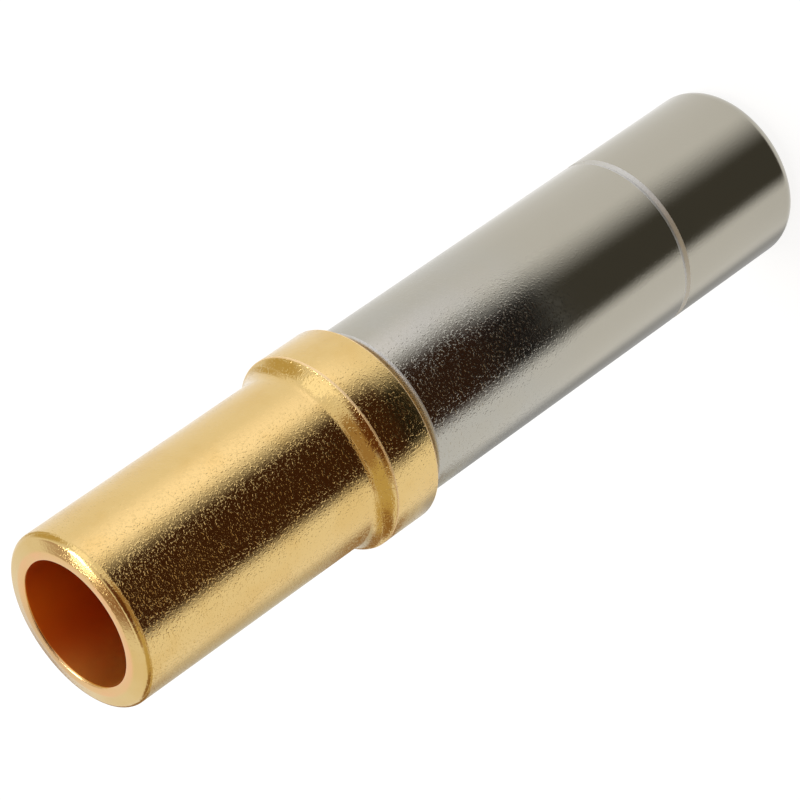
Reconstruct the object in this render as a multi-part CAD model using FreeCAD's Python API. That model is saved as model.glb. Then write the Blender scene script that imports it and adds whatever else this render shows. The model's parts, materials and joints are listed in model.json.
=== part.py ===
import FreeCAD, Part
import math
import os

# Socket crimp contact, in millimetres. It stands on the nose of its hood:
# height zero is the mating end, and +Z runs up the axis to the mouth of the
# crimp barrel. A gold-plated turned body carries a pressed-on steel hood.

# Crimp barrel
barrel_diameter = 6.35
barrel_length = 10.78
mouth_land_width = 0.30
mouth_slope_angle = 14.0
mouth_rounding = 0.27
wire_well_diameter = 4.57
wire_well_depth = 10.60
wire_well_chamfer = 0.08
inspection_hole_diameter = 1.20
inspection_hole_setback = 2.00

# Collar that the insert's clip holds
collar_height = 0.41
collar_width = 1.92
collar_cone_angle = 52.0
collar_fillet = 1.00
collar_edge_break = 0.08

# Hood over the spring tines
hood_diameter = 6.33
hood_length = 18.30
hood_wall = 0.30
hood_nose_rounding = 0.70
hood_edge_break = 0.08
hood_groove_height = 5.90
hood_groove_width = 0.28
hood_groove_depth = 0.07

# Seat that the hood is pressed on, and the stop behind it
hood_stop_length = 0.40
hood_stop_height = 0.12
hood_seat_length = 4.50
hood_seat_lead = 0.30

# Spring tines round the mating pin
mating_pin_diameter = 3.61
pin_bore_depth = 12.50
pin_bore_chamfer = 0.25
tine_count = 4
tine_taper = 0.08
tine_tip_chamfer = 0.15
slot_width = 0.50
slot_length = 9.50

# Clearances and the drill's point
pin_entry_clearance = 0.12
tine_side_clearance = 0.27
tine_tip_clearance = 0.45
drill_point_angle = 118.0

# The most of the shorter side beside it that a rounding takes
rounding_share = 0.96

# Radii that follow
barrel_radius = barrel_diameter / 2
wire_well_radius = wire_well_diameter / 2
mouth_land_radius = wire_well_radius + mouth_land_width
collar_radius = barrel_radius + collar_height
hood_radius = hood_diameter / 2
hood_bore_radius = hood_radius - hood_wall
hood_stop_radius = hood_bore_radius + hood_stop_height
mating_pin_radius = mating_pin_diameter / 2
pin_entry_radius = mating_pin_radius + pin_entry_clearance
tine_root_radius = hood_bore_radius - tine_side_clearance
tine_tip_radius = tine_root_radius - tine_taper

# Heights that follow, from the nose up
tine_tip = hood_wall + tine_tip_clearance
hood_rear = hood_length
seat_end = hood_rear - hood_seat_length
collar_rear = hood_rear + hood_stop_length
collar_front = collar_rear + collar_width
cone_foot = collar_front + collar_height / math.tan(math.radians(collar_cone_angle))
mouth = collar_front + barrel_length
mouth_drop = (barrel_radius - mouth_land_radius) * math.tan(math.radians(mouth_slope_angle))


def corner_cut(before, corner, after, treatment, size):
    """The points that stand for one corner: two for a chamfer, three for an arc."""
    room = min((before - corner).Length, (after - corner).Length)
    back = (before - corner).normalize()
    on = (after - corner).normalize()
    if treatment == "chamfer":
        return corner + back * size, corner + on * size
    half_angle = back.getAngle(on) / 2
    reach = min(size / math.tan(half_angle), rounding_share * room)
    radius = reach * math.tan(half_angle)
    inward = (back + on).normalize()
    centre = corner + inward * (radius / math.sin(half_angle))
    return corner + back * reach, centre - inward * radius, corner + on * reach


def turned(corners):
    """A solid of revolution from its outline's corners.

    A corner is (radius, height), or (radius, height, treatment, size) where the
    treatment is "chamfer" or "rounding".
    """
    points = [FreeCAD.Vector(corner[0], 0, corner[1]) for corner in corners]
    stretches = []
    for index, corner in enumerate(corners):
        treatment = corner[2:]
        if treatment and treatment[1] > 0:
            after = points[(index + 1) % len(points)]
            stretches.append(corner_cut(points[index - 1], points[index], after, *treatment))
        else:
            stretches.append((points[index],))
    edges = []
    for index, stretch in enumerate(stretches):
        edges.append(Part.makeLine(stretches[index - 1][-1], stretch[0]))
        if len(stretch) == 2:
            edges.append(Part.makeLine(*stretch))
        if len(stretch) == 3:
            edges.append(Part.Arc(*stretch).toShape())
    face = Part.Face(Part.Wire(edges))
    return face.revolve(FreeCAD.Vector(0, 0, 0), FreeCAD.Vector(0, 0, 1), 360)


def drilled(radius, depth, mouth_chamfer):
    """A drilled hole's solid: it opens at height zero and goes up the axis."""
    point_depth = radius / math.tan(math.radians(drill_point_angle / 2))
    return turned([
        (0, -mouth_chamfer),
        (radius + 2 * mouth_chamfer, -mouth_chamfer),
        (radius, mouth_chamfer),
        (radius, depth),
        (0, depth + point_depth),
    ])


def raised(shape, height):
    """The shape moved up the axis."""
    return shape.translated(FreeCAD.Vector(0, 0, height))


def body_blank():
    """The turned outside of the body, from the barrel down to the tine tips."""
    return turned([
        (0, mouth),
        (mouth_land_radius, mouth),
        (barrel_radius, mouth - mouth_drop, "rounding", mouth_rounding),
        (barrel_radius, cone_foot, "rounding", collar_fillet),
        (collar_radius, collar_front, "chamfer", collar_edge_break),
        (collar_radius, collar_rear, "chamfer", collar_edge_break),
        (hood_stop_radius, collar_rear),
        (hood_stop_radius, hood_rear),
        (hood_bore_radius, hood_rear),
        (hood_bore_radius, seat_end + hood_seat_lead),
        (tine_root_radius, seat_end),
        (tine_tip_radius, tine_tip, "chamfer", tine_tip_chamfer),
        (0, tine_tip),
    ])


def wire_well():
    """The blind hole that the conductor goes in, down from the barrel's mouth."""
    hole = drilled(wire_well_radius, wire_well_depth, wire_well_chamfer)
    hole.rotate(FreeCAD.Vector(0, 0, 0), FreeCAD.Vector(1, 0, 0), 180)
    return raised(hole, mouth)


def inspection_hole():
    """The cross hole through one wall, near the bottom of the wire well."""
    height = mouth - wire_well_depth + inspection_hole_setback
    start = FreeCAD.Vector(0, 0, height)
    away = FreeCAD.Vector(0, 1, 0)
    return Part.makeCylinder(inspection_hole_diameter / 2, collar_radius, start, away)


def pin_bore():
    """The blind hole between the tines, up from their tips."""
    return raised(drilled(mating_pin_radius, pin_bore_depth, pin_bore_chamfer), tine_tip)


def tine_slots():
    """The saw slots that part the tines, from the axis outwards."""
    slots = []
    for index in range(tine_count):
        slot = Part.makeBox(hood_bore_radius, slot_width, slot_length + tine_tip)
        slot.translate(FreeCAD.Vector(0, -slot_width / 2, 0))
        slot.rotate(FreeCAD.Vector(0, 0, 0), FreeCAD.Vector(0, 0, 1), index * 360 / tine_count)
        slots.append(slot)
    return slots


def contact_body():
    """The one-piece body: crimp barrel, collar, hood seat and spring tines."""
    body = body_blank()
    for tool in [wire_well(), inspection_hole(), pin_bore()] + tine_slots():
        body = body.cut(tool)
    return body


def hood():
    """The thin sleeve over the tines, with its nose turned in to the pin entry."""
    groove_top = hood_groove_height + hood_groove_width / 2
    groove_foot = hood_groove_height - hood_groove_width / 2
    inner_rounding = max(hood_nose_rounding - hood_wall, 0)
    return turned([
        (hood_bore_radius, hood_rear),
        (hood_radius, hood_rear, "chamfer", hood_edge_break),
        (hood_radius, groove_top),
        (hood_radius - hood_groove_depth, hood_groove_height),
        (hood_radius, groove_foot),
        (hood_radius, 0, "rounding", hood_nose_rounding),
        (pin_entry_radius, 0, "chamfer", hood_edge_break),
        (pin_entry_radius, hood_wall, "chamfer", hood_edge_break),
        (hood_bore_radius, hood_wall, "rounding", inner_rounding),
    ])


pieces = {
    "contact_body": contact_body(),
    "hood": hood(),
}

os.makedirs("parts", exist_ok=True)
for name, shape in pieces.items():
    solid = shape.Solids[0]
    solid.exportStep("parts/" + name + ".step")
    print(name, "solids", len(shape.Solids), "valid", solid.isValid(), "volume", round(solid.Volume, 2))
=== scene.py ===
import json
import logging
import math
from collections.abc import Callable
from dataclasses import dataclass
from enum import Enum

import bmesh
import bpy
from mathutils import Euler, Matrix, Vector


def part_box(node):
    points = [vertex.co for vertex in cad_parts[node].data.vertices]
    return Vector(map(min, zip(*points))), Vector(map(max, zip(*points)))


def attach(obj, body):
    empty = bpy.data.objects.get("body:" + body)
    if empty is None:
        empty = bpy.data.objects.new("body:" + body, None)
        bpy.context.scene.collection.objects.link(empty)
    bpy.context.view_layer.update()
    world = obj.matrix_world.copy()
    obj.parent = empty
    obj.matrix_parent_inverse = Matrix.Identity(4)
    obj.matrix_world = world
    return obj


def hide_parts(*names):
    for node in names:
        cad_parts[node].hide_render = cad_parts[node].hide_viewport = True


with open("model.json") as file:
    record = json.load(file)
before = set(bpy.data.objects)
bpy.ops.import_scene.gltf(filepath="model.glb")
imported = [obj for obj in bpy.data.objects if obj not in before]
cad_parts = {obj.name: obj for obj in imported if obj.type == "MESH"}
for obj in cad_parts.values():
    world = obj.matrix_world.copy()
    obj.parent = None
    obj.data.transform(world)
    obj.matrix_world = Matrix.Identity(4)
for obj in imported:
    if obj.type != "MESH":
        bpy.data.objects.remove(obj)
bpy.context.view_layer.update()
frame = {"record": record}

# The part stands on the nose of its hood, with the axis along +Z. Pieces are
# shaped in millimetres and brought to metres when they are finished. Finishes,
# which read a place on the finished piece, hold their sizes in metres.
MILLIMETRE = 0.001

# Faces round the axis of a turned piece and of the inspection hole
SEGMENTS = 192
HOLE_SEGMENTS = 64

# How far from a ring, in millimetres, a corner still belongs to it, and the
# angle in degrees from which an edge of a finished piece stays sharp
NEAR = 1e-4
SHARP_FROM = 28.0

Span = tuple[float, float]
Colour = tuple[float, float, float, float]
Paint = Colour | bpy.types.NodeSocket

log = logging.getLogger("contact")


def mount_radius(name: str) -> float:
    """Reads a round mount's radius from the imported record.

    Args:
        name: The mount's name.

    Returns:
        The radius in millimetres.
    """
    for mount in frame["record"]["mounts"]:
        if mount["name"] == name:
            return mount["dims"]["r_mm"]
    raise KeyError(name)


def top_of(node: str) -> float:
    """The highest point of a node of the frame, in millimetres."""
    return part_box(node)[1].z / MILLIMETRE


def bottom_of(node: str) -> float:
    """The lowest point of a node of the frame, in millimetres."""
    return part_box(node)[0].z / MILLIMETRE


def reach_of(node: str) -> float:
    """The largest radius of a node of the frame, in millimetres."""
    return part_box(node)[1].x / MILLIMETRE


@dataclass(frozen=True)
class Corner:
    """One corner of a turned outline, in millimetres.

    A rounding of zero leaves the corner sharp, and steps is the number of
    faces that a rounding gets.
    """

    radius: float
    height: float
    rounding: float = 0.0
    steps: int = 3

    def point(self) -> Vector:
        """The corner in the plane of the outline."""
        return Vector((self.radius, self.height))


class Bench:
    """Edit-mode work on one mesh at a time, with its selections made in code."""

    @staticmethod
    def clear() -> None:
        """Deselects every object."""
        bpy.ops.object.select_all(action="DESELECT")

    @staticmethod
    def take(piece: bpy.types.Object) -> None:
        """Makes one object the only selected and the active one.

        Args:
            piece: The object that the next operators work on.
        """
        Bench.clear()
        piece.select_set(True)
        bpy.context.view_layer.objects.active = piece

    @staticmethod
    def pick_edges(piece: bpy.types.Object, wanted: Callable[[bmesh.types.BMEdge], bool]) -> int:
        """Selects the edges that pass a test, in edit mode.

        Args:
            piece: The object in edit mode.
            wanted: Says whether an edge is selected.

        Returns:
            How many edges are selected.
        """
        bpy.ops.mesh.select_mode(type="EDGE")
        mesh = bmesh.from_edit_mesh(piece.data)
        for part in (*mesh.faces, *mesh.edges, *mesh.verts):
            part.select_set(False)
        count = 0
        for edge in mesh.edges:
            if wanted(edge):
                edge.select_set(True)
                count += 1
        bmesh.update_edit_mesh(piece.data)
        return count

    @staticmethod
    def on_ring(radius: float, height: float) -> Callable[[bmesh.types.BMEdge], bool]:
        """Makes a test for the edges of one ring round the axis.

        Args:
            radius: The ring's radius in millimetres.
            height: The ring's height in millimetres.

        Returns:
            A test that pick_edges can use.
        """

        def wanted(edge: bmesh.types.BMEdge) -> bool:
            """Whether both ends of the edge lie on the ring."""
            return all(
                abs(end.co.z - height) < NEAR
                and abs(math.hypot(end.co.x, end.co.y) - radius) < NEAR
                for end in edge.verts
            )

        return wanted


class Lathe:
    """Turns an outline into a solid by extruding and scaling one ring."""

    # The profile of a bevel that is an arc of a circle
    ROUND = 0.5

    @staticmethod
    def step_to(before: Corner, corner: Corner) -> None:
        """Extrudes the selected ring to the next corner of the outline.

        Args:
            before: The corner that the selected ring stands for.
            corner: The next corner. One on the axis closes the solid.
        """
        rise = corner.height - before.height
        bpy.ops.mesh.extrude_edges_move(TRANSFORM_OT_translate={"value": (0, 0, rise)})
        if corner.radius == 0:
            bpy.ops.mesh.merge(type="CENTER")
        else:
            scale = corner.radius / before.radius
            centre = (0, 0, corner.height)
            bpy.ops.transform.resize(value=(scale, scale, 1), center_override=centre)

    @staticmethod
    def round_off(piece: bpy.types.Object, before: Corner, corner: Corner, after: Corner) -> None:
        """Bevels one ring of the solid, so that it gets the corner's rounding.

        Args:
            piece: The solid, in edit mode.
            before: The corner before the one that is rounded.
            corner: The corner that is rounded.
            after: The corner after it.

        Raises:
            ValueError: The solid has no ring at the corner.
        """
        back = (before.point() - corner.point()).normalized()
        on = (after.point() - corner.point()).normalized()
        reach = corner.rounding / math.tan(back.angle(on) / 2)
        if Bench.pick_edges(piece, Bench.on_ring(corner.radius, corner.height)) == 0:
            raise ValueError(f"no ring at {corner}")
        bpy.ops.mesh.bevel(
            offset_type="OFFSET", offset=reach, segments=corner.steps, profile=Lathe.ROUND
        )

    @staticmethod
    def turn(name: str, outline: list[Corner], segments: int = SEGMENTS) -> bpy.types.Object:
        """Makes a closed solid of revolution.

        Args:
            name: The new object's name.
            outline: The corners in order. It starts and ends on the axis, or
                nowhere touches it and is closed from the last to the first.
            segments: The number of faces round the axis.

        Returns:
            The new object, in millimetres, with its normals pointing outwards.
        """
        on_axis = outline[0].radius == 0
        rings = outline[1:] if on_axis else outline
        Bench.clear()
        bpy.ops.mesh.primitive_circle_add(
            vertices=segments, radius=rings[0].radius, location=(0, 0, 0)
        )
        piece = bpy.context.object
        piece.name = name
        bpy.ops.object.mode_set(mode="EDIT")
        bpy.ops.mesh.select_mode(type="EDGE")
        bpy.ops.mesh.select_all(action="SELECT")
        bpy.ops.transform.translate(value=(0, 0, rings[0].height))
        for before, corner in zip(rings, rings[1:]):
            Lathe.step_to(before, corner)
        Bench.pick_edges(piece, Bench.on_ring(rings[0].radius, rings[0].height))
        if on_axis:
            Lathe.step_to(rings[0], outline[0])
        else:
            Bench.pick_edges(piece, lambda edge: edge.is_boundary)
            bpy.ops.mesh.bridge_edge_loops()
        bpy.ops.mesh.select_all(action="SELECT")
        bpy.ops.mesh.remove_doubles(threshold=NEAR)
        bpy.ops.mesh.normals_make_consistent(inside=False)
        for index, corner in enumerate(outline):
            if corner.rounding > 0:
                after = outline[(index + 1) % len(outline)]
                Lathe.round_off(piece, outline[index - 1], corner, after)
        bpy.ops.object.mode_set(mode="OBJECT")
        return piece

    @staticmethod
    def cut(piece: bpy.types.Object, tool: bpy.types.Object) -> None:
        """Takes the tool's volume out of the piece and deletes the tool.

        Args:
            piece: The object that is cut.
            tool: The closed solid that cuts it.
        """
        Bench.take(piece)
        modifier = piece.modifiers.new("cut", "BOOLEAN")
        modifier.operation = "DIFFERENCE"
        modifier.solver = "EXACT"
        modifier.object = tool
        bpy.ops.object.modifier_apply(modifier=modifier.name)
        bpy.data.objects.remove(tool)

    @staticmethod
    def finish(piece: bpy.types.Object) -> None:
        """Brings a piece to metres and smooths its shading.

        Args:
            piece: The object in millimetres.
        """
        Bench.take(piece)
        bpy.ops.object.mode_set(mode="EDIT")
        bpy.ops.mesh.select_all(action="SELECT")
        bpy.ops.mesh.normals_make_consistent(inside=False)
        bpy.ops.transform.resize(value=(MILLIMETRE,) * 3, center_override=(0, 0, 0))
        bpy.ops.object.mode_set(mode="OBJECT")
        bpy.ops.object.shade_smooth_by_angle(angle=math.radians(SHARP_FROM))


class Value:
    """A number in a shader, on which Python's operators add Math nodes."""

    def __init__(self, graph: "Graph", socket: bpy.types.NodeSocket) -> None:
        """Keeps the graph and the socket that gives the number."""
        self.graph = graph
        self.socket = socket

    def maths(self, operation: str, *others: "Value | float") -> "Value":
        """Adds one Math node, with this value as its first input."""
        inputs = dict(enumerate((self, *others)))
        return self.graph.value("ShaderNodeMath", {"operation": operation}, inputs)

    def reflected(self, operation: str, first: float) -> "Value":
        """Adds one Math node, with a plain number as its first input."""
        return self.graph.value("ShaderNodeMath", {"operation": operation}, {0: first, 1: self})

    def __add__(self, other: "Value | float") -> "Value":
        """This value plus another."""
        return self.maths("ADD", other)

    def __radd__(self, other: float) -> "Value":
        """A number plus this value."""
        return self.reflected("ADD", other)

    def __sub__(self, other: "Value | float") -> "Value":
        """This value minus another."""
        return self.maths("SUBTRACT", other)

    def __rsub__(self, other: float) -> "Value":
        """A number minus this value."""
        return self.reflected("SUBTRACT", other)

    def __mul__(self, other: "Value | float") -> "Value":
        """This value times another."""
        return self.maths("MULTIPLY", other)

    def __rmul__(self, other: float) -> "Value":
        """A number times this value."""
        return self.reflected("MULTIPLY", other)

    def __pow__(self, other: float) -> "Value":
        """This value to a power."""
        return self.maths("POWER", other)

    def ramp(self, start: float, end: float) -> "Value":
        """A smooth rise from 0 at start to 1 at end, which may be a fall."""
        inputs = {"Value": self, "From Min": start, "From Max": end, "To Min": 0.0, "To Max": 1.0}
        return self.graph.value(
            "ShaderNodeMapRange", {"interpolation_type": "SMOOTHSTEP"}, inputs
        )


class Graph:
    """The nodes of one material or world."""

    # How strong each finer layer of a noise is beside the one before it
    LAYER_STRENGTH = 0.55

    # Between which values of the noise a grain and a finer grain rise, how
    # large the finer one is beside the other, and its share of the height
    GRAIN_RISE = (0.52, 0.74)
    FINE_RISE = (0.52, 0.78)
    FINE_SIZE = 0.5
    FINE_SHARE = 0.25

    # Layers in the noise of uneven patches, and the fade of a band, in metres
    PATCH_LAYERS = 3
    BAND_FADE = 0.00002

    def __init__(self, tree: bpy.types.NodeTree) -> None:
        """Empties a node tree and keeps it."""
        self.tree = tree
        tree.nodes.clear()

    def node(
        self, kind: str, settings: dict[str, object], inputs: dict[str | int, object]
    ) -> bpy.types.Node:
        """Adds any node.

        Args:
            kind: The node's type.
            settings: Its properties, such as a Math node's operation, which are set first.
            inputs: Its sockets by name or number: a Value, a socket or a plain value.

        Returns:
            The new node.
        """
        made = self.tree.nodes.new(kind)
        for key, setting in settings.items():
            setattr(made, key, setting)
        for key, given in inputs.items():
            source = given.socket if isinstance(given, Value) else given
            if isinstance(source, bpy.types.NodeSocket):
                self.tree.links.new(source, made.inputs[key])
            else:
                made.inputs[key].default_value = source
        return made

    def value(
        self, kind: str, settings: dict[str, object], inputs: dict[str | int, object]
    ) -> Value:
        """Adds any node and wraps its first output, which is a number."""
        return Value(self, self.node(kind, settings, inputs).outputs[0])

    def blend(self, factor: Value, first: Paint, second: Paint) -> bpy.types.NodeSocket:
        """Mixes two colours, from the first at 0 to the second at 1."""
        settings = {"data_type": "RGBA", "blend_type": "MIX"}
        return self.node("ShaderNodeMix", settings, {0: factor, 6: first, 7: second}).outputs[2]

    def place(self) -> bpy.types.NodeSocket:
        """The point on the object, in metres."""
        return self.node("ShaderNodeTexCoord", {}, {}).outputs["Object"]

    def axes(self) -> tuple[Value, Value, Value]:
        """The point's three coordinates, in metres."""
        parts = self.node("ShaderNodeSeparateXYZ", {}, {0: self.place()}).outputs
        return Value(self, parts[0]), Value(self, parts[1]), Value(self, parts[2])

    def noise(self, size: float, layers: int) -> Value:
        """Noise whose grains are about size metres across.

        Args:
            size: The width of the largest grains, in metres.
            layers: How many finer layers are added to them.

        Returns:
            A number from 0 to 1, mostly near 0.5.
        """
        inputs = {
            "Vector": self.place(),
            "Scale": 1 / size,
            "Detail": layers,
            "Roughness": self.LAYER_STRENGTH,
        }
        return self.value("ShaderNodeTexNoise", {}, inputs)

    def patches(self, size: float, rise: Span) -> Value:
        """Soft uneven patches about size metres across, from 0 to 1."""
        return self.noise(size, self.PATCH_LAYERS).ramp(*rise)

    def specks(self, size: float) -> Value:
        """Sparse steep grains with smooth metal between them.

        Args:
            size: The width of a grain, in metres.

        Returns:
            The height from 0 to 1.
        """
        coarse = self.noise(size, 1).ramp(*self.GRAIN_RISE)
        fine = self.noise(size * self.FINE_SIZE, 0).ramp(*self.FINE_RISE)
        return coarse * (1 - self.FINE_SHARE) + fine * self.FINE_SHARE

    def bump(self, height: Value, depth: float) -> bpy.types.NodeSocket:
        """A normal from a height of 0 to 1 that stands for a depth in metres."""
        inputs = {"Strength": 1.0, "Distance": depth, "Height": height}
        return self.node("ShaderNodeBump", {}, inputs).outputs[0]

    def between(self, share: Value, first: "Value | float", second: "Value | float") -> Value:
        """A number that goes from the first at 0 to the second at 1."""
        return share * second + (1 - share) * first

    def near(self, height: Value, place: float, width: float) -> Value:
        """1 where the height is within width of the place, and 0 past a short fade."""
        return (height - place).maths("ABSOLUTE").ramp(width + self.BAND_FADE, width)

    def surface(self, inputs: dict[str | int, object]) -> None:
        """Ends the graph in one Principled surface."""
        shader = self.node("ShaderNodeBsdfPrincipled", {}, inputs)
        self.node("ShaderNodeOutputMaterial", {}, {"Surface": shader.outputs[0]})

    def mixed_surface(self, share: Value, first: bpy.types.Node, second: bpy.types.Node) -> None:
        """Ends the graph in two shaders.

        Args:
            share: The share of the second shader, from 0 to 1.
            first: The node of the first shader.
            second: The node of the second shader.
        """
        inputs = {0: share, 1: first.outputs[0], 2: second.outputs[0]}
        mixed = self.node("ShaderNodeMixShader", {}, inputs)
        self.node("ShaderNodeOutputMaterial", {}, {"Surface": mixed.outputs[0]})


def new_material(name: str) -> tuple[bpy.types.Material, Graph]:
    """Makes an empty material.

    Args:
        name: The material's name.

    Returns:
        The material and the graph of its nodes.
    """
    material = bpy.data.materials.new(name)
    material.use_nodes = True
    return material, Graph(material.node_tree)


@dataclass(frozen=True)
class TumbledMetal:
    """What both finishes have: fine grains, uneven patches and tumbled edges, which are rougher and
    get a lighter colour as a painted highlight.
    """

    grain: float = 0.00009
    grain_depth: float = 0.0000055
    patch_roughness: float = 0.05
    edge_roughness: float = 0.60
    # How much of the lighter edge colour, a painted highlight, the tumbled edges get
    edge_highlight_share: float = 0.8

    def surface(
        self, graph: Graph, colour: Paint, rough: Value, edges: Value, relief: Value
    ) -> None:
        """Ends a graph in the metal.

        Args:
            graph: The material's graph.
            colour: The metal's colour.
            rough: Its roughness away from the edges.
            edges: 1 on the tumbled edges and 0 elsewhere.
            relief: How much of the grain's height is left, from 0 to 1.
        """
        graph.surface({
            "Base Color": colour,
            "Metallic": 1.0,
            "Roughness": graph.between(edges, rough, self.edge_roughness),
            "Normal": graph.bump(graph.specks(self.grain) * relief, self.grain_depth),
        })


@dataclass(frozen=True)
class PlatedPlaces:
    """Where the plating changes, in metres."""

    bore_radius: float
    bore_floor: float
    mouth: float
    land: float
    rear_edge: float
    front_edge: float


@dataclass(frozen=True)
class GoldPlating(TumbledMetal):
    """Matt gold plating over a turned and tumbled copper alloy.

    Inside the wire well the colour is painted: a deep red is painted shade for the
    darkening by the well's many reflections, and it is painted lighter towards -X
    and towards the mouth as painted light. The mouth's land is painted darker
    towards +Y as painted shade. A pair of numbers says where a change begins and
    where it is complete: in shares of the well's radius (well_skin) or of the
    land's width (land_skin), in metres below the mouth (rim_depth, and the depths
    between which the well's painted light comes in), in metres along Y from the
    axis (where the land's painted shade comes in), or in values of the noise.
    """

    colour: Colour = (0.70, 0.50, 0.205, 1)
    deep_colour: Colour = (0.66, 0.44, 0.15, 1)
    copper_colour: Colour = (0.80, 0.46, 0.22, 1)
    # Inside the wire well: a deep red that is painted shade for the darkening by its many
    # reflections, then a lighter colour that is painted light on its -X side and near the mouth
    well_shade_colour: Colour = (0.76, 0.235, 0.040, 1)
    well_light_colour: Colour = (0.95, 0.66, 0.13, 1)
    # Painted shade on the far side of the mouth's land, towards +Y
    mouth_far_shade: Colour = (0.46, 0.31, 0.17, 1)
    # A lighter colour on the collar's tumbled edges: a painted highlight
    edge_highlight_colour: Colour = (0.96, 0.75, 0.47, 1)
    roughness: float = 0.10
    bore_roughness: float = 0.42
    edge_width: float = 0.000028
    patch_size: float = 0.0016
    patch_rise: Span = (0.42, 0.68)
    well_skin: Span = (1.004, 1.001)
    floor_fade: float = 0.002
    land_skin: Span = (1.35, 0.85)
    # Between which distances along +Y the painted shade on the mouth's land comes in
    rim_depth: Span = (0.0003, 0.0001)
    land_shade_side: Span = (0.0015, 0.0030)
    # Where the well's painted light begins on the -X side, and the depths below the mouth between
    # which it fades in
    well_light_side: float = 0.0002
    well_light_depth: Span = (0.0054, 0.0006)
    deep_share: float = 0.5
    # How strong the painted shade on the mouth's land is
    land_shade_share: float = 0.6
    copper_least: float = 0.55
    # The least share of the well's painted light, in the noise's dimmer patches
    well_light_least: float = 0.6
    bore_polish: float = 0.85
    rim_polish: float = 0.7

    def material(self, places: PlatedPlaces) -> bpy.types.Material:
        """Builds the material.

        Args:
            places: Where on the body the plating changes.

        Returns:
            The finished material.
        """
        material, graph = new_material("gold_plating_finish")
        x, y, z = graph.axes()
        radius = (x * x + y * y) ** 0.5
        well = [places.bore_radius * share for share in self.well_skin]
        land = [places.bore_radius + places.land * share for share in self.land_skin]
        below = [places.mouth - depth for depth in self.rim_depth]
        # Heights between which the well's painted light fades in towards the mouth
        well_light_heights = [places.mouth - depth for depth in self.well_light_depth]

        patches = graph.patches(self.patch_size, self.patch_rise)
        inside = radius.ramp(*well) * z.ramp(places.bore_floor - self.floor_fade, places.bore_floor)
        rim = z.ramp(*below) * (1 - inside)
        worn = radius.ramp(*land) * rim * graph.between(patches, self.copper_least, 1)
        # Painted shade: the mouth's land darker towards +Y
        land_shaded = rim * y.ramp(*self.land_shade_side) * self.land_shade_share
        edges = graph.near(z, places.rear_edge, self.edge_width)
        edges = edges + graph.near(z, places.front_edge, self.edge_width)

        plated = graph.blend(patches * self.deep_share, self.colour, self.deep_colour)
        plated = graph.blend(worn, plated, self.copper_colour)
        plated = graph.blend(land_shaded, plated, self.mouth_far_shade)
        # Painted highlight: the collar's tumbled edges lighter
        plated = graph.blend(edges * self.edge_highlight_share, plated, self.edge_highlight_colour)

        # Painted light inside the well, lighter towards -X and near the mouth, over a deep red that
        # is painted shade
        well_lit = x.ramp(self.well_light_side, -places.bore_radius) * z.ramp(*well_light_heights)
        well_lit = well_lit * graph.between(patches, self.well_light_least, 1)
        bore = graph.blend(well_lit, self.well_shade_colour, self.well_light_colour)

        satin = self.roughness + self.patch_roughness * patches
        rough = graph.between(inside, satin, self.bore_roughness)
        relief = 1 - self.bore_polish * inside - self.rim_polish * rim
        self.surface(graph, graph.blend(inside, plated, bore), rough, edges, relief)
        return material


@dataclass(frozen=True)
class StainlessSteel(TumbledMetal):
    """Passivated stainless steel, coarser near the collar than at the nose.

    The pair rear_part says between which shares of the hood's length the steel
    gets coarser, and nose_relief how much of the grain's height is left before it.
    """

    colour: Colour = (0.425, 0.402, 0.338, 1)
    cool_colour: Colour = (0.425, 0.412, 0.365, 1)
    # A lighter grey on the rear edge and in the groove: a painted highlight
    edge_highlight_colour: Colour = (0.68, 0.68, 0.68, 1)
    roughness: float = 0.11
    edge_width: float = 0.00007
    edge_inset: float = 0.00004
    patch_size: float = 0.0022
    patch_rise: Span = (0.40, 0.66)
    rear_part: Span = (0.55, 0.80)
    cool_least: float = 0.5
    nose_relief: float = 0.22

    def material(self, rear: float, groove: float, groove_reach: float) -> bpy.types.Material:
        """Builds the material.

        Args:
            rear: The height of the hood's rear edge, in metres.
            groove: The height of the groove, in metres.
            groove_reach: How far its rougher metal, painted lighter as a highlight, reaches up and
                down, in metres.

        Returns:
            The finished material.
        """
        material, graph = new_material("steel_finish")
        _, _, z = graph.axes()
        patches = graph.patches(self.patch_size, self.patch_rise)
        coarse = z.ramp(*(rear * share for share in self.rear_part))
        edges = graph.near(z, rear - self.edge_inset, self.edge_width)
        edges = edges + graph.near(z, groove, groove_reach)
        cool = coarse * graph.between(patches, self.cool_least, 1)
        metal = graph.blend(cool, self.colour, self.cool_colour)
        # Painted highlight: the rear edge and the groove lighter
        metal = graph.blend(edges * self.edge_highlight_share, metal, self.edge_highlight_colour)
        rough = self.roughness + self.patch_roughness * patches
        self.surface(graph, metal, rough, edges, graph.between(coarse, self.nose_relief, 1))
        return material


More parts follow.
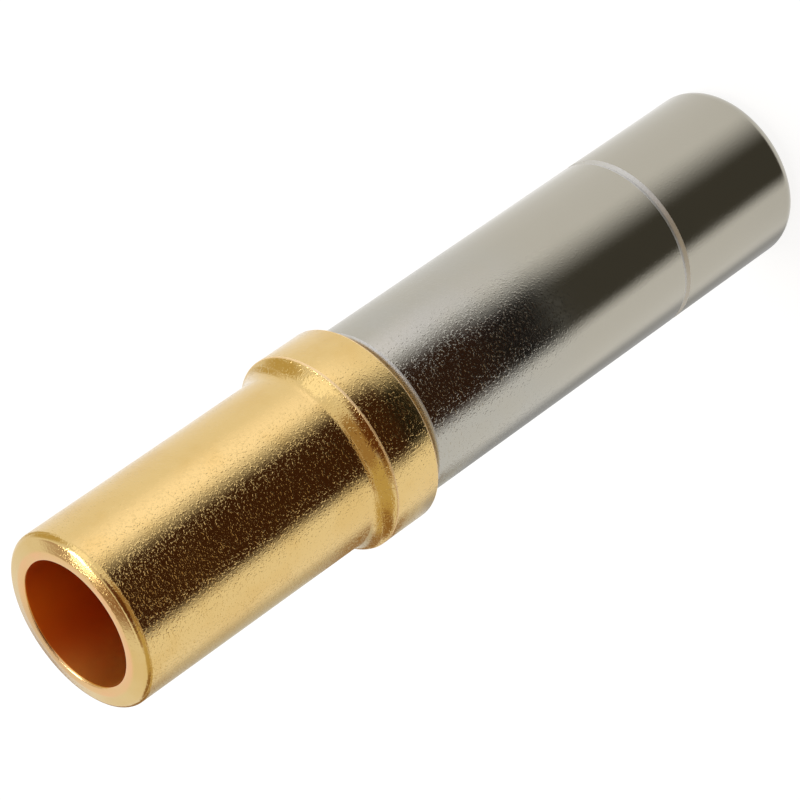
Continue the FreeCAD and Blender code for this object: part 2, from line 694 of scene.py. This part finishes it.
@dataclass
class ContactBody:
    """The turned body: crimp barrel, collar, hood seat and spring tines.

    All sizes are in millimetres, and those that the frame holds are read there.
    """

    mouth: float = top_of("contact_body")
    tine_tip: float = bottom_of("contact_body")
    collar_radius: float = reach_of("contact_body")
    hood_rear: float = top_of("hood")
    hood_radius: float = reach_of("hood")
    barrel_radius: float = mount_radius("barrel_outside")
    well_radius: float = mount_radius("wire_well")
    pin_radius: float = mount_radius("pin_socket")
    hood_wall: float = 0.30
    stop_length: float = 0.40
    stop_height: float = 0.12
    collar_width: float = 1.92
    cone_angle: float = 52.0
    fillet: float = 1.00
    edge_rounding: float = 0.06
    edge_inset: float = 0.025
    mouth_land: float = 0.30
    land_rounding: float = 0.4
    mouth_slope: float = 14.0
    mouth_rounding: float = 0.27
    well_edge: float = 0.08
    well_depth: float = 10.60
    drill_angle: float = 118.0
    hole_radius: float = 0.60
    hole_setback: float = 2.00
    hole_edge: float = 0.06
    hole_flare: float = 0.24
    seat_length: float = 4.50
    seat_lead: float = 0.30
    tine_clearance: float = 0.27
    tine_taper: float = 0.08
    tine_edge: float = 0.15
    pin_bore_depth: float = 12.50
    pin_bore_edge: float = 0.25
    slot_width: float = 0.50
    slot_length: float = 9.50
    slot_cuts: int = 2
    edge_steps: int = 4
    fillet_steps: int = 12
    mouth_steps: int = 10

    def outline(self) -> list[Corner]:
        """Works out the body's outline.

        Returns:
            The corners, from the pin bore's point round to the wire well's point.
        """
        seat = self.hood_radius - self.hood_wall
        tine = seat - self.tine_clearance
        stop = seat + self.stop_height
        seat_end = self.hood_rear - self.seat_length
        collar_rear = self.hood_rear + self.stop_length
        collar_front = collar_rear + self.collar_width
        step = self.collar_radius - self.barrel_radius
        cone_foot = collar_front + step / math.tan(math.radians(self.cone_angle))
        land = self.well_radius + self.mouth_land
        slope = math.tan(math.radians(self.mouth_slope))
        slope_foot = self.mouth - (self.barrel_radius - land) * slope
        point = 1 / math.tan(math.radians(self.drill_angle / 2))
        bore_end = self.tine_tip + self.pin_bore_depth
        well_end = self.mouth - self.well_depth
        return [
            Corner(0, bore_end + self.pin_radius * point),
            Corner(self.pin_radius, bore_end),
            Corner(self.pin_radius, self.tine_tip + self.pin_bore_edge),
            Corner(self.pin_radius + self.pin_bore_edge, self.tine_tip),
            Corner(tine - self.tine_taper, self.tine_tip, self.tine_edge),
            Corner(tine, seat_end),
            Corner(seat, seat_end + self.seat_lead),
            Corner(seat, self.hood_rear),
            Corner(stop, self.hood_rear),
            Corner(stop, collar_rear),
            Corner(self.collar_radius, collar_rear, self.edge_rounding, self.edge_steps),
            Corner(self.collar_radius, collar_front, self.edge_rounding, self.edge_steps),
            Corner(self.barrel_radius, cone_foot, self.fillet, self.fillet_steps),
            Corner(self.barrel_radius, slope_foot, self.mouth_rounding, self.mouth_steps),
            Corner(land, self.mouth, self.land_rounding, self.edge_steps),
            Corner(self.well_radius, self.mouth, self.well_edge, self.edge_steps),
            Corner(self.well_radius, well_end),
            Corner(0, well_end - self.well_radius * point),
        ]

    def slot_tool(self, index: int) -> bpy.types.Object:
        """Makes the saw cut of one pair of slots, right through the tines.

        Args:
            index: Which of the cuts it is.

        Returns:
            The solid that is cut away.
        """
        height = self.tine_tip + self.slot_length
        Bench.clear()
        bpy.ops.mesh.primitive_cube_add(size=1, location=(0, 0, 0))
        tool = bpy.context.object
        bpy.ops.object.mode_set(mode="EDIT")
        bpy.ops.mesh.select_all(action="SELECT")
        width = 2 * self.hood_radius
        bpy.ops.transform.resize(value=(width, self.slot_width, height), center_override=(0, 0, 0))
        bpy.ops.transform.translate(value=(0, 0, height / 2))
        bpy.ops.object.mode_set(mode="OBJECT")
        tool.data.transform(Matrix.Rotation(index * math.pi / self.slot_cuts, 4, "Z"))
        return tool

    def hole_tool(self) -> bpy.types.Object:
        """Makes the inspection hole's drill, which flares where it breaks the edge.

        Returns:
            The solid that is cut away.
        """
        flare = self.barrel_radius - 2 * self.hole_edge
        outline = [
            Corner(0, 0),
            Corner(self.hole_radius, 0),
            Corner(self.hole_radius, flare),
            Corner(self.hole_radius + self.hole_flare, flare + self.hole_flare),
            Corner(0, flare + self.hole_flare),
        ]
        height = self.mouth - self.well_depth + self.hole_setback
        tool = Lathe.turn("hole_tool", outline, HOLE_SEGMENTS)
        tool.data.transform(Matrix.Rotation(-math.pi / 2, 4, "X"))
        tool.data.transform(Matrix.Translation((0, 0, height)))
        return tool

    def build(self, finish: GoldPlating) -> bpy.types.Object:
        """Makes the body and dresses it.

        Args:
            finish: The plating.

        Returns:
            The finished piece.
        """
        piece = Lathe.turn("plated_body", self.outline())
        Lathe.cut(piece, self.hole_tool())
        for index in range(self.slot_cuts):
            Lathe.cut(piece, self.slot_tool(index))
        Lathe.finish(piece)
        collar_rear = self.hood_rear + self.stop_length
        places = PlatedPlaces(
            bore_radius=self.well_radius * MILLIMETRE,
            bore_floor=(self.mouth - self.well_depth) * MILLIMETRE,
            mouth=self.mouth * MILLIMETRE,
            land=self.mouth_land * MILLIMETRE,
            rear_edge=(collar_rear + self.edge_inset) * MILLIMETRE,
            front_edge=(collar_rear + self.collar_width - self.edge_inset) * MILLIMETRE,
        )
        piece.data.materials.append(finish.material(places))
        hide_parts("contact_body")
        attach(piece, "root")
        return piece


@dataclass
class Hood:
    """The thin steel sleeve over the tines, in millimetres."""

    radius: float = reach_of("hood")
    rear: float = top_of("hood")
    pin_radius: float = mount_radius("pin_socket")
    wall: float = 0.30
    entry_clearance: float = 0.12
    nose_rounding: float = 0.70
    edge_rounding: float = 0.08
    groove_height: float = 5.90
    groove_width: float = 0.28
    groove_depth: float = 0.07
    groove_rounding: float = 0.03
    # The share of the groove's width that is rougher and painted lighter as a highlight
    groove_matt_highlight_share: float = 0.48
    edge_steps: int = 4
    nose_steps: int = 12
    nose_inner_steps: int = 8

    def outline(self) -> list[Corner]:
        """Works out the outline of the sleeve's wall, with the nose turned in.

        Returns:
            The corners, which close on the first.
        """
        bore = self.radius - self.wall
        entry = self.pin_radius + self.entry_clearance
        half = self.groove_width / 2
        return [
            Corner(bore, self.rear),
            Corner(self.radius, self.rear, self.edge_rounding, self.edge_steps),
            Corner(self.radius, self.groove_height + half, self.groove_rounding),
            Corner(self.radius - self.groove_depth, self.groove_height, self.groove_rounding),
            Corner(self.radius, self.groove_height - half, self.groove_rounding),
            Corner(self.radius, 0, self.nose_rounding, self.nose_steps),
            Corner(entry, 0, self.edge_rounding),
            Corner(entry, self.wall, self.edge_rounding),
            Corner(bore, self.wall, self.nose_rounding - self.wall, self.nose_inner_steps),
        ]

    def build(self, finish: StainlessSteel) -> bpy.types.Object:
        """Makes the hood and dresses it.

        Args:
            finish: The steel.

        Returns:
            The finished piece.
        """
        piece = Lathe.turn("steel_hood", self.outline())
        Lathe.finish(piece)
        rear, groove = self.rear * MILLIMETRE, self.groove_height * MILLIMETRE
        reach = self.groove_width * self.groove_matt_highlight_share * MILLIMETRE
        piece.data.materials.append(finish.material(rear, groove, reach))
        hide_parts("hood")
        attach(piece, "root")
        return piece


class Tone(Enum):
    """The light that a card or a patch of sky gives, as linear colour."""

    SMOKE = (0.085, 0.078, 0.062, 1)
    BLACK = (0.016, 0.015, 0.014, 1)
    BROWN = (0.050, 0.020, 0.010, 1)
    DIM = (0.46, 0.46, 0.46, 1)
    PALE = (0.63, 0.61, 0.54, 1)
    SHADE = (0.36, 0.22, 0.09, 1)
    BRIGHT = (1.45, 1.42, 1.50, 1)
    ROOM = (0.43, 0.29, 0.14, 1)
    SIDE_ROOM = (0.66, 0.54, 0.26, 1)
    OVERHEAD = (0.14, 0.05, 0.015, 1)
    CEILING = (0.34, 0.18, 0.10, 1)
    WALL = (0.60, 0.48, 0.42, 1)
    WHITE = (1, 1, 1, 1)


def heading(azimuth: float, elevation: float = 0) -> Vector:
    """A direction from its angles in degrees, where azimuth 0 is towards the camera.

    Args:
        azimuth: The turn from the camera's side, positive towards -X.
        elevation: The height above the floor.

    Returns:
        The unit vector.
    """
    turn, tilt = math.radians(azimuth), math.radians(elevation)
    level = math.cos(tilt)
    return Vector((-math.sin(turn) * level, -math.cos(turn) * level, math.sin(tilt)))


@dataclass(frozen=True)
class Feather:
    """Where a card fades in and out along one of its sides, as fractions of the side."""

    fade_in: float
    fade_out: float

    def mask(self, along: Value) -> Value:
        """The card's cover from 0 to 1 along the side."""
        return along.ramp(0, self.fade_in) * along.ramp(1, 1 - self.fade_out)


# The long side of a card that goes far out over the floor
FAR_FEATHER = Feather(0.05, 0.1)


@dataclass(frozen=True)
class Card:
    """A feathered sheet over the floor that shows only in the metal.

    It fills what the metal mirrors between two angles round the axis, which are
    counted in degrees from the camera's side, and between two distances. These
    and its lift above the floor are in millimetres.
    """

    name: str
    tone: Tone
    from_angle: float
    to_angle: float
    near: float
    far: float
    lift: float
    across: Feather
    along: Feather
    divisions: int = 32

    def build(self, radius: float) -> bpy.types.Object:
        """Makes the card.

        Args:
            radius: The radius of the metal that mirrors it, in millimetres.

        Returns:
            The card, which shows only in the metal.
        """
        Bench.clear()
        bpy.ops.mesh.primitive_grid_add(
            x_subdivisions=self.divisions,
            y_subdivisions=self.divisions,
            size=1,
            location=(0, 0, 0),
        )
        card = bpy.context.object
        card.name = self.name
        lift = Vector((0, 0, self.lift))
        for vertex in card.data.vertices:
            angle = self.from_angle + (self.to_angle - self.from_angle) * (vertex.co.x + 0.5)
            distance = self.near + (self.far - self.near) * (vertex.co.y + 0.5)
            spot = radius * heading(angle) + distance * heading(2 * angle) + lift
            vertex.co = spot * MILLIMETRE
        card.data.materials.append(self.material())
        Studio.show_only_in_metal(card)
        return card

    def material(self) -> bpy.types.Material:
        """Makes a sheet that glows in its tone and fades out at its edges.

        Returns:
            The card's material.
        """
        material, graph = new_material(self.name)
        places = graph.node("ShaderNodeUVMap", {}, {}).outputs[0]
        sides = graph.node("ShaderNodeSeparateXYZ", {}, {0: places}).outputs
        cover = self.across.mask(Value(graph, sides[0])) * self.along.mask(Value(graph, sides[1]))
        clear = graph.node("ShaderNodeBsdfTransparent", {}, {})
        light = graph.node("ShaderNodeEmission", {}, {"Color": self.tone.value, "Strength": 1.0})
        graph.mixed_surface(cover, clear, light)
        return material


@dataclass(frozen=True)
class SkyPatch:
    """A round patch of the studio round the contact.

    Its place and its two radii are in degrees. It has its full tone inside the
    inner one and fades out at the outer one.
    """

    tone: Tone
    azimuth: float
    elevation: float
    inner: float
    outer: float


@dataclass(frozen=True)
class Lamp:
    """A soft area lamp that points at the middle of the contact, in metres and degrees."""

    name: str
    azimuth: float
    elevation: float
    width: float
    height: float
    glow: float
    distance: float = 0.5

    def build(self, aim: Vector) -> None:
        """Places the lamp.

        Args:
            aim: The point that it is turned to, in metres.
        """
        Bench.clear()
        bpy.ops.object.light_add(type="AREA", location=(0, 0, 0))
        lamp = bpy.context.object
        lamp.name = self.name
        lamp.data.shape = "RECTANGLE"
        lamp.data.size = self.width
        lamp.data.size_y = self.height
        lamp.data.energy = self.glow * math.pi * self.width * self.height
        away = heading(self.azimuth, self.elevation)
        lamp.location = aim + self.distance * away
        lamp.rotation_euler = away.to_track_quat("Z", "Y").to_euler()


# The soft patches, cards and lamps round the contact, which its metal mirrors
SKY: tuple[SkyPatch, ...] = (
    SkyPatch(Tone.SIDE_ROOM, 84, 10, 24, 34),
    SkyPatch(Tone.SIDE_ROOM, -112, 12, 15, 32),
    SkyPatch(Tone.SHADE, 120, 2, 17, 25),
    SkyPatch(Tone.SIDE_ROOM, 57, 21, 15, 26),
    SkyPatch(Tone.ROOM, 15, 14, 25, 38),
    SkyPatch(Tone.ROOM, 66, 52, 8, 18),
    SkyPatch(Tone.OVERHEAD, 14, 60, 18, 32),
    SkyPatch(Tone.CEILING, -178, 66, 9, 17),
    SkyPatch(Tone.WALL, -152, 46, 6, 14),
)
CARDS: tuple[Card, ...] = (
    Card(
        "bright_card", Tone.BRIGHT, -46, -16, 15, 110, 0.020, Feather(0.5, 0.4), Feather(0.4, 0.1)
    ),
    Card("far_room_card", Tone.ROOM, -14, 42, 90, 800, 0.010, Feather(0.3, 0.2), FAR_FEATHER),
    Card("far_side_card", Tone.SIDE_ROOM, 36, 74, 75, 800, 0.012, Feather(0.3, 0.2), FAR_FEATHER),
    Card(
        "far_shade_card", Tone.SHADE, 62, 94, 58, 800, 0.014, Feather(0.3, 0.2), Feather(0.01, 0.1)
    ),
    Card("far_left_card", Tone.SIDE_ROOM, -84, -46, 75, 800, 0.016, Feather(0.4, 0.4), FAR_FEATHER),
    Card("dim_card", Tone.DIM, 58, 99, 0, 31, 0.020, Feather(0.32, 0.2), Feather(0.01, 0.1)),
    Card("pale_card", Tone.PALE, 56, 92, 28, 66, 0.030, Feather(0.35, 0.3), Feather(0.08, 0.1)),
    Card("shade_card", Tone.SHADE, 56, 98, 34, 42, 0.040, Feather(0.3, 0.01), Feather(0.05, 0.45)),
    Card("smoke_card", Tone.SMOKE, -26, 34, 0, 21, 0.040, Feather(0.45, 0.2), Feather(0.01, 0.17)),
    Card("black_card", Tone.BLACK, -25, 34.5, 17, 33, 0.050, Feather(0.36, 0.2), Feather(0.2, 0.2)),
    Card(
        "brown_card", Tone.BROWN, -25.5, 34.5, 27, 110, 0.060,
        Feather(0.27, 0.18), Feather(0.05, 0.2),
    ),
)
LAMPS: tuple[Lamp, ...] = (
    Lamp("window_lamp", -63, 26, 0.25, 0.50, 0.45),
    Lamp("strip_lamp", -127, 61, 0.375, 0.10, 6.0),
)


@dataclass
class Studio:
    """Pale floor, plain soft studio light and the camera, in metres and degrees."""

    floor_colour: Colour = (0.93, 0.93, 0.93, 1)
    floor_glow: float = 1.13
    floor_glow_share: float = 0.75
    floor_size: float = 4.0
    aim_height: float = 0.01684
    camera_side: float = -0.00008
    camera_distance: float = 0.1331
    camera_elevation: float = 32.49
    camera_roll: float = -125.0
    lens: float = 181.7
    sensor: float = 36.0
    nearest: float = 0.001

    @staticmethod
    def show_only_in_metal(card: bpy.types.Object) -> None:
        """Hides a card from everything except reflections.

        Args:
            card: The card.
        """
        card.visible_camera = False
        card.visible_diffuse = False
        card.visible_transmission = False
        card.visible_shadow = False

    @staticmethod
    def seen_directly(graph: Graph) -> Value:
        """1 for what the camera and the metal see, 0 for what only lights the floor."""
        rays = graph.node("ShaderNodeLightPath", {}, {}).outputs
        return Value(graph, rays["Is Camera Ray"]) + Value(graph, rays["Is Glossy Ray"])

    def floor(self) -> None:
        """Adds the floor, whose white keeps a faint shadow."""
        Bench.clear()
        bpy.ops.mesh.primitive_plane_add(size=self.floor_size, location=(0, 0, 0))
        floor = bpy.context.object
        floor.name = "floor"
        material, graph = new_material("floor_paper")
        paper = graph.node("ShaderNodeBsdfDiffuse", {}, {"Color": self.floor_colour})
        white = graph.node("ShaderNodeEmission", {}, {"Strength": self.floor_glow})
        graph.mixed_surface(self.seen_directly(graph) * self.floor_glow_share, paper, white)
        floor.data.materials.append(material)

    def world(self) -> None:
        """Surrounds the scene with soft light, dimmer where the patches of sky are."""
        world = bpy.data.worlds.new("studio")
        world.use_nodes = True
        bpy.context.scene.world = world
        graph = Graph(world.node_tree)
        direction = graph.node("ShaderNodeTexCoord", {}, {}).outputs["Generated"]
        colour: Paint = Tone.WHITE.value
        for patch in SKY:
            inputs = {0: direction, 1: heading(patch.azimuth, patch.elevation)}
            dot = graph.node("ShaderNodeVectorMath", {"operation": "DOT_PRODUCT"}, inputs)
            sides = (math.cos(math.radians(angle)) for angle in (patch.outer, patch.inner))
            cover = Value(graph, dot.outputs["Value"]).ramp(*sides)
            colour = graph.blend(cover, colour, patch.tone.value)
        rays = graph.node("ShaderNodeLightPath", {}, {}).outputs
        shown = graph.blend(Value(graph, rays["Is Camera Ray"]), colour, Tone.WHITE.value)
        light = graph.node("ShaderNodeBackground", {}, {"Color": shown, "Strength": 1.0})
        graph.node("ShaderNodeOutputWorld", {}, {"Surface": light.outputs[0]})

    def camera(self) -> None:
        """Places the camera at the photograph's angle."""
        Bench.clear()
        bpy.ops.object.camera_add(location=(0, 0, 0))
        camera = bpy.context.object
        middle = Vector((self.camera_side, 0, self.aim_height))
        camera.location = middle + self.camera_distance * heading(0, self.camera_elevation)
        upright = Euler((math.pi / 2 - math.radians(self.camera_elevation), 0, 0)).to_matrix()
        roll = Matrix.Rotation(math.radians(self.camera_roll), 3, "Z")
        camera.rotation_euler = (upright @ roll).to_euler()
        camera.data.lens = self.lens
        camera.data.sensor_width = self.sensor
        camera.data.clip_start = self.nearest
        bpy.context.scene.camera = camera

    def build(self, metal_radius: float) -> None:
        """Builds the whole studio.

        Args:
            metal_radius: The radius of the barrel and the hood, in millimetres.
        """
        self.floor()
        self.world()
        for card in CARDS:
            card.build(metal_radius)
        for lamp in LAMPS:
            lamp.build(Vector((0, 0, self.aim_height)))
        self.camera()


def main() -> None:
    """Builds the contact and its studio, and reports each piece."""
    logging.basicConfig(level=logging.INFO, format="%(message)s")
    body = ContactBody()
    for piece in (body.build(GoldPlating()), Hood().build(StainlessSteel())):
        triangles = sum(len(face.vertices) - 2 for face in piece.data.polygons)
        log.info("%s: %d triangles", piece.name, triangles)
    Studio().build(body.barrel_radius)
    bpy.context.scene.view_settings.view_transform = "Standard"


if __name__ == "__main__":
    main()
